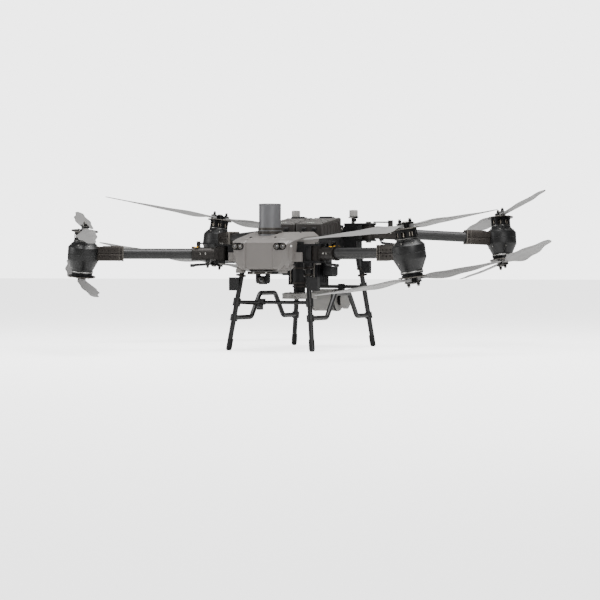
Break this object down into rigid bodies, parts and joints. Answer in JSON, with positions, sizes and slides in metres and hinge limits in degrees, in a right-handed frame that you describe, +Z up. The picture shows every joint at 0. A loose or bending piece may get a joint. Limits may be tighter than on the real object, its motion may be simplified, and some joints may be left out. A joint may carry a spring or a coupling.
{
  "type": "heavy-lift cargo drone",
  "caption": "Folding cargo drone: each arm carries an upper and a lower two-blade rotor; tube landing gear, belly payload plate, camera, radar and parachute canister.",
  "frame": {"origin": "centre of the bounding box in plan, on the ground under the feet", "axes": "+Z up, -Y towards the nose, +X towards the drone's own left"},
  "size_m": [2.53, 2.6469, 0.7924],
  "materials": {
    "black_carbon": "matte woven carbon and nylon",
    "black_metal": "satin black anodised",
    "warm_metal": "satin dark anodised",
    "cowl_grey": "satin moulded plastic",
    "can_grey": "satin grey paint",
    "light_grey": "satin moulded plastic",
    "blade_grey": "satin composite",
    "steel": "plain steel",
    "battery_grey": "moulded plastic"
  },
  "bodies": {
    "airframe": {"center_frame": "black_carbon", "nose_cowl": "cowl_grey", "parachute_canister": "can_grey", "chin_plate": "black_metal", "rear_housing": "black_carbon", "satellite_antennas": "light_grey", "power_module": "black_carbon", "payload_mount": "black_metal", "arm_hinge_brackets": "black_metal", "arm_hinge_pins": "steel", "front_legs": "black_carbon", "rear_legs": "black_carbon", "leg_crossbars": "black_carbon", "carry_handles": "black_carbon", "link_antennas": "black_carbon", "radar_drum": "light_grey", "radar_post": "black_metal"},
    "arm_front_left": {"arm_knuckle_front_left": "warm_metal", "arm_tube_front_left": "black_carbon", "motor_pod_front_left": "black_carbon"},
    "latch_front_left": {"latch_lever_front_left": "black_metal"},
    "arm_front_right": {"arm_knuckle_front_right": "warm_metal", "arm_tube_front_right": "black_carbon", "motor_pod_front_right": "black_carbon"},
    "latch_front_right": {"latch_lever_front_right": "black_metal"},
    "arm_rear_left": {"arm_knuckle_rear_left": "warm_metal", "arm_tube_rear_left": "black_carbon", "motor_pod_rear_left": "black_carbon"},
    "latch_rear_left": {"latch_lever_rear_left": "black_metal"},
    "arm_rear_right": {"arm_knuckle_rear_right": "warm_metal", "arm_tube_rear_right": "black_carbon", "motor_pod_rear_right": "black_carbon"},
    "latch_rear_right": {"latch_lever_rear_right": "black_metal"},
    "rotor_front_left_upper": {"rotor_hub_front_left_upper": "black_metal"},
    "blade_front_left_upper_a": {"blade_front_left_upper_a": "blade_grey"},
    "blade_front_left_upper_b": {"blade_front_left_upper_b": "blade_grey"},
    "rotor_front_left_lower": {"rotor_hub_front_left_lower": "black_metal"},
    "blade_front_left_lower_a": {"blade_front_left_lower_a": "blade_grey"},
    "blade_front_left_lower_b": {"blade_front_left_lower_b": "blade_grey"},
    "rotor_front_right_upper": {"rotor_hub_front_right_upper": "black_metal"},
    "blade_front_right_upper_a": {"blade_front_right_upper_a": "blade_grey"},
    "blade_front_right_upper_b": {"blade_front_right_upper_b": "blade_grey"},
    "rotor_front_right_lower": {"rotor_hub_front_right_lower": "black_metal"},
    "blade_front_right_lower_a": {"blade_front_right_lower_a": "blade_grey"},
    "blade_front_right_lower_b": {"blade_front_right_lower_b": "blade_grey"},
    "rotor_rear_left_upper": {"rotor_hub_rear_left_upper": "black_metal"},
    "blade_rear_left_upper_a": {"blade_rear_left_upper_a": "blade_grey"},
    "blade_rear_left_upper_b": {"blade_rear_left_upper_b": "blade_grey"},
    "rotor_rear_left_lower": {"rotor_hub_rear_left_lower": "black_metal"},
    "blade_rear_left_lower_a": {"blade_rear_left_lower_a": "blade_grey"},
    "blade_rear_left_lower_b": {"blade_rear_left_lower_b": "blade_grey"},
    "rotor_rear_right_upper": {"rotor_hub_rear_right_upper": "black_metal"},
    "blade_rear_right_upper_a": {"blade_rear_right_upper_a": "blade_grey"},
    "blade_rear_right_upper_b": {"blade_rear_right_upper_b": "blade_grey"},
    "rotor_rear_right_lower": {"rotor_hub_rear_right_lower": "black_metal"},
    "blade_rear_right_lower_a": {"blade_rear_right_lower_a": "blade_grey"},
    "blade_rear_right_lower_b": {"blade_rear_right_lower_b": "blade_grey"},
    "camera": {"camera_head": "black_metal"},
    "battery_left": {"battery_left": "battery_grey"},
    "battery_right": {"battery_right": "battery_grey"}
  },
  "joints": [
    {"name": "fold_front_left", "type": "hinge", "parent": "airframe", "child": "arm_front_left", "pos_m": [0.259, -0.352, 0.478], "axis": [0, 0, 1], "range_deg": [0, 78]},
    {"name": "latch_lift_front_left", "type": "hinge", "parent": "arm_front_left", "child": "latch_front_left", "pos_m": [0.36071, -0.40779, 0.5295], "axis": [0.4809, 0.8768, 0], "range_deg": [0, 75]},
    {"name": "fold_front_right", "type": "hinge", "parent": "airframe", "child": "arm_front_right", "pos_m": [-0.259, -0.352, 0.478], "axis": [0, 0, -1], "range_deg": [0, 78]},
    {"name": "latch_lift_front_right", "type": "hinge", "parent": "arm_front_right", "child": "latch_front_right", "pos_m": [-0.36071, -0.40779, 0.5295], "axis": [0.4809, -0.8768, 0], "range_deg": [0, 75]},
    {"name": "fold_rear_left", "type": "hinge", "parent": "airframe", "child": "arm_rear_left", "pos_m": [0.245, 0.334, 0.592], "axis": [0, 0, -1], "range_deg": [0, 75]},
    {"name": "latch_lift_rear_left", "type": "hinge", "parent": "arm_rear_left", "child": "latch_rear_left", "pos_m": [0.33942, 0.40139, 0.6435], "axis": [-0.581, 0.8139, 0], "range_deg": [0, 75]},
    {"name": "fold_rear_right", "type": "hinge", "parent": "airframe", "child": "arm_rear_right", "pos_m": [-0.245, 0.334, 0.592], "axis": [0, 0, 1], "range_deg": [0, 75]},
    {"name": "latch_lift_rear_right", "type": "hinge", "parent": "arm_rear_right", "child": "latch_rear_right", "pos_m": [-0.33942, 0.40139, 0.6435], "axis": [-0.581, -0.8139, 0], "range_deg": [0, 75]},
    {"name": "spin_front_left_upper", "type": "hinge", "parent": "arm_front_left", "child": "rotor_front_left_upper", "pos_m": [0.857, -0.68, 0.478], "axis": [-0.1188, -0.0782, 0.9898], "continuous": true},
    {"name": "fold_blade_front_left_upper_a", "type": "hinge", "parent": "rotor_front_left_upper", "child": "blade_front_left_upper_a", "pos_m": [0.85417, -0.65597, 0.60483], "axis": [-0.1188, -0.0782, 0.9898], "range_deg": [0, 88]},
    {"name": "fold_blade_front_left_upper_b", "type": "hinge", "parent": "rotor_front_left_upper", "child": "blade_front_left_upper_b", "pos_m": [0.83037, -0.72342, 0.59665], "axis": [0.1188, 0.0782, -0.9898], "range_deg": [0, 88]},
    {"name": "spin_front_left_lower", "type": "hinge", "parent": "arm_front_left", "child": "rotor_front_left_lower", "pos_m": [0.857, -0.68, 0.478], "axis": [-0.1188, -0.0782, 0.9898], "continuous": true},
    {"name": "fold_blade_front_left_lower_a", "type": "hinge", "parent": "rotor_front_left_lower", "child": "blade_front_left_lower_a", "pos_m": [0.88245, -0.63617, 0.35924], "axis": [-0.1188, -0.0782, 0.9898], "range_deg": [0, 88]},
    {"name": "fold_blade_front_left_lower_b", "type": "hinge", "parent": "rotor_front_left_lower", "child": "blade_front_left_lower_b", "pos_m": [0.86101, -0.70444, 0.35128], "axis": [0.1188, 0.0782, -0.9898], "range_deg": [0, 88]},
    {"name": "spin_front_right_upper", "type": "hinge", "parent": "arm_front_right", "child": "rotor_front_right_upper", "pos_m": [-0.857, -0.68, 0.478], "axis": [0.1188, -0.0782, 0.9898], "continuous": true},
    {"name": "fold_blade_front_right_upper_a", "type": "hinge", "parent": "rotor_front_right_upper", "child": "blade_front_right_upper_a", "pos_m": [-0.86148, -0.65961, 0.60542], "axis": [-0.1188, 0.0782, -0.9898], "range_deg": [0, 88]},
    {"name": "fold_blade_front_right_upper_b", "type": "hinge", "parent": "rotor_front_right_upper", "child": "blade_front_right_upper_b", "pos_m": [-0.82306, -0.71978, 0.59606], "axis": [0.1188, -0.0782, 0.9898], "range_deg": [0, 88]},
    {"name": "spin_front_right_lower", "type": "hinge", "parent": "arm_front_right", "child": "rotor_front_right_lower", "pos_m": [-0.857, -0.68, 0.478], "axis": [0.1188, -0.0782, 0.9898], "continuous": true},
    {"name": "fold_blade_front_right_lower_a", "type": "hinge", "parent": "rotor_front_right_lower", "child": "blade_front_right_lower_a", "pos_m": [-0.89199, -0.64093, 0.36001], "axis": [-0.1188, 0.0782, -0.9898], "range_deg": [0, 88]},
    {"name": "fold_blade_front_right_lower_b", "type": "hinge", "parent": "rotor_front_right_lower", "child": "blade_front_right_lower_b", "pos_m": [-0.85147, -0.69968, 0.35051], "axis": [0.1188, -0.0782, 0.9898], "range_deg": [0, 88]},
    {"name": "spin_rear_left_upper", "type": "hinge", "parent": "arm_rear_left", "child": "rotor_rear_left_upper", "pos_m": [0.825, 0.748, 0.559], "axis": [-0.091, 0.1118, 0.9895], "continuous": true},
    {"name": "fold_blade_rear_left_upper_a", "type": "hinge", "parent": "rotor_rear_left_upper", "child": "blade_rear_left_upper_a", "pos_m": [0.79229, 0.79033, 0.67652], "axis": [-0.091, 0.1118, 0.9895], "range_deg": [0, 88]},
    {"name": "fold_blade_rear_left_upper_b", "type": "hinge", "parent": "rotor_rear_left_upper", "child": "blade_rear_left_upper_b", "pos_m": [0.83513, 0.7334, 0.68689], "axis": [0.091, -0.1118, -0.9895], "range_deg": [0, 88]},
    {"name": "spin_rear_left_lower", "type": "hinge", "parent": "arm_rear_left", "child": "rotor_rear_left_lower", "pos_m": [0.825, 0.748, 0.559], "axis": [-0.091, 0.1118, 0.9895], "continuous": true},
    {"name": "fold_blade_rear_left_lower_a", "type": "hinge", "parent": "rotor_rear_left_lower", "child": "blade_rear_left_lower_a", "pos_m": [0.81437, 0.76222, 0.43111], "axis": [-0.091, 0.1118, 0.9895], "range_deg": [0, 88]},
    {"name": "fold_blade_rear_left_lower_b", "type": "hinge", "parent": "rotor_rear_left_lower", "child": "blade_rear_left_lower_b", "pos_m": [0.85821, 0.70605, 0.44149], "axis": [0.091, -0.1118, -0.9895], "range_deg": [0, 88]},
    {"name": "spin_rear_right_upper", "type": "hinge", "parent": "arm_rear_right", "child": "rotor_rear_right_upper", "pos_m": [-0.825, 0.748, 0.559], "axis": [0.091, 0.1118, 0.9895], "continuous": true},
    {"name": "fold_blade_rear_right_upper_a", "type": "hinge", "parent": "rotor_rear_right_upper", "child": "blade_rear_right_upper_a", "pos_m": [-0.79129, 0.78955, 0.67651], "axis": [-0.091, -0.1118, -0.9895], "range_deg": [0, 88]},
    {"name": "fold_blade_rear_right_upper_b", "type": "hinge", "parent": "rotor_rear_right_upper", "child": "blade_rear_right_upper_b", "pos_m": [-0.83613, 0.73418, 0.6869], "axis": [0.091, 0.1118, 0.9895], "range_deg": [0, 88]},
    {"name": "spin_rear_right_lower", "type": "hinge", "parent": "arm_rear_right", "child": "rotor_rear_right_lower", "pos_m": [-0.825, 0.748, 0.559], "axis": [0.091, 0.1118, 0.9895], "continuous": true},
    {"name": "fold_blade_rear_right_lower_a", "type": "hinge", "parent": "rotor_rear_right_lower", "child": "blade_rear_right_lower_a", "pos_m": [-0.81387, 0.76182, 0.43111], "axis": [-0.091, -0.1118, -0.9895], "range_deg": [0, 88]},
    {"name": "fold_blade_rear_right_lower_b", "type": "hinge", "parent": "rotor_rear_right_lower", "child": "blade_rear_right_lower_b", "pos_m": [-0.85871, 0.70645, 0.44149], "axis": [0.091, 0.1118, 0.9895], "range_deg": [0, 88]},
    {"name": "camera_tilt", "type": "hinge", "parent": "airframe", "child": "camera", "pos_m": [0, -0.428, 0.349], "axis": [1, 0, 0], "range_deg": [-30, 90]},
    {"name": "lift_battery_left", "type": "slide", "parent": "airframe", "child": "battery_left", "axis": [0, 0, 1], "range_m": [0, 0.16]},
    {"name": "lift_battery_right", "type": "slide", "parent": "airframe", "child": "battery_right", "axis": [0, 0, 1], "range_m": [0, 0.16]}
  ],
  "couplings": [
    {"joint": "fold_blade_front_left_upper_a", "follows": "fold_front_left", "ratio": 1.1282},
    {"joint": "fold_blade_front_left_upper_b", "follows": "fold_front_left", "ratio": 1.1282},
    {"joint": "fold_blade_front_left_lower_a", "follows": "fold_front_left", "ratio": 1.1282},
    {"joint": "fold_blade_front_left_lower_b", "follows": "fold_front_left", "ratio": 1.1282},
    {"joint": "fold_blade_front_right_upper_a", "follows": "fold_front_right", "ratio": 1.1282},
    {"joint": "fold_blade_front_right_upper_b", "follows": "fold_front_right", "ratio": 1.1282},
    {"joint": "fold_blade_front_right_lower_a", "follows": "fold_front_right", "ratio": 1.1282},
    {"joint": "fold_blade_front_right_lower_b", "follows": "fold_front_right", "ratio": 1.1282},
    {"joint": "fold_blade_rear_left_upper_a", "follows": "fold_rear_left", "ratio": 1.1733},
    {"joint": "fold_blade_rear_left_upper_b", "follows": "fold_rear_left", "ratio": 1.1733},
    {"joint": "fold_blade_rear_left_lower_a", "follows": "fold_rear_left", "ratio": 1.1733},
    {"joint": "fold_blade_rear_left_lower_b", "follows": "fold_rear_left", "ratio": 1.1733},
    {"joint": "fold_blade_rear_right_upper_a", "follows": "fold_rear_right", "ratio": 1.1733},
    {"joint": "fold_blade_rear_right_upper_b", "follows": "fold_rear_right", "ratio": 1.1733},
    {"joint": "fold_blade_rear_right_lower_a", "follows": "fold_rear_right", "ratio": 1.1733},
    {"joint": "fold_blade_rear_right_lower_b", "follows": "fold_rear_right", "ratio": 1.1733}
  ]
}
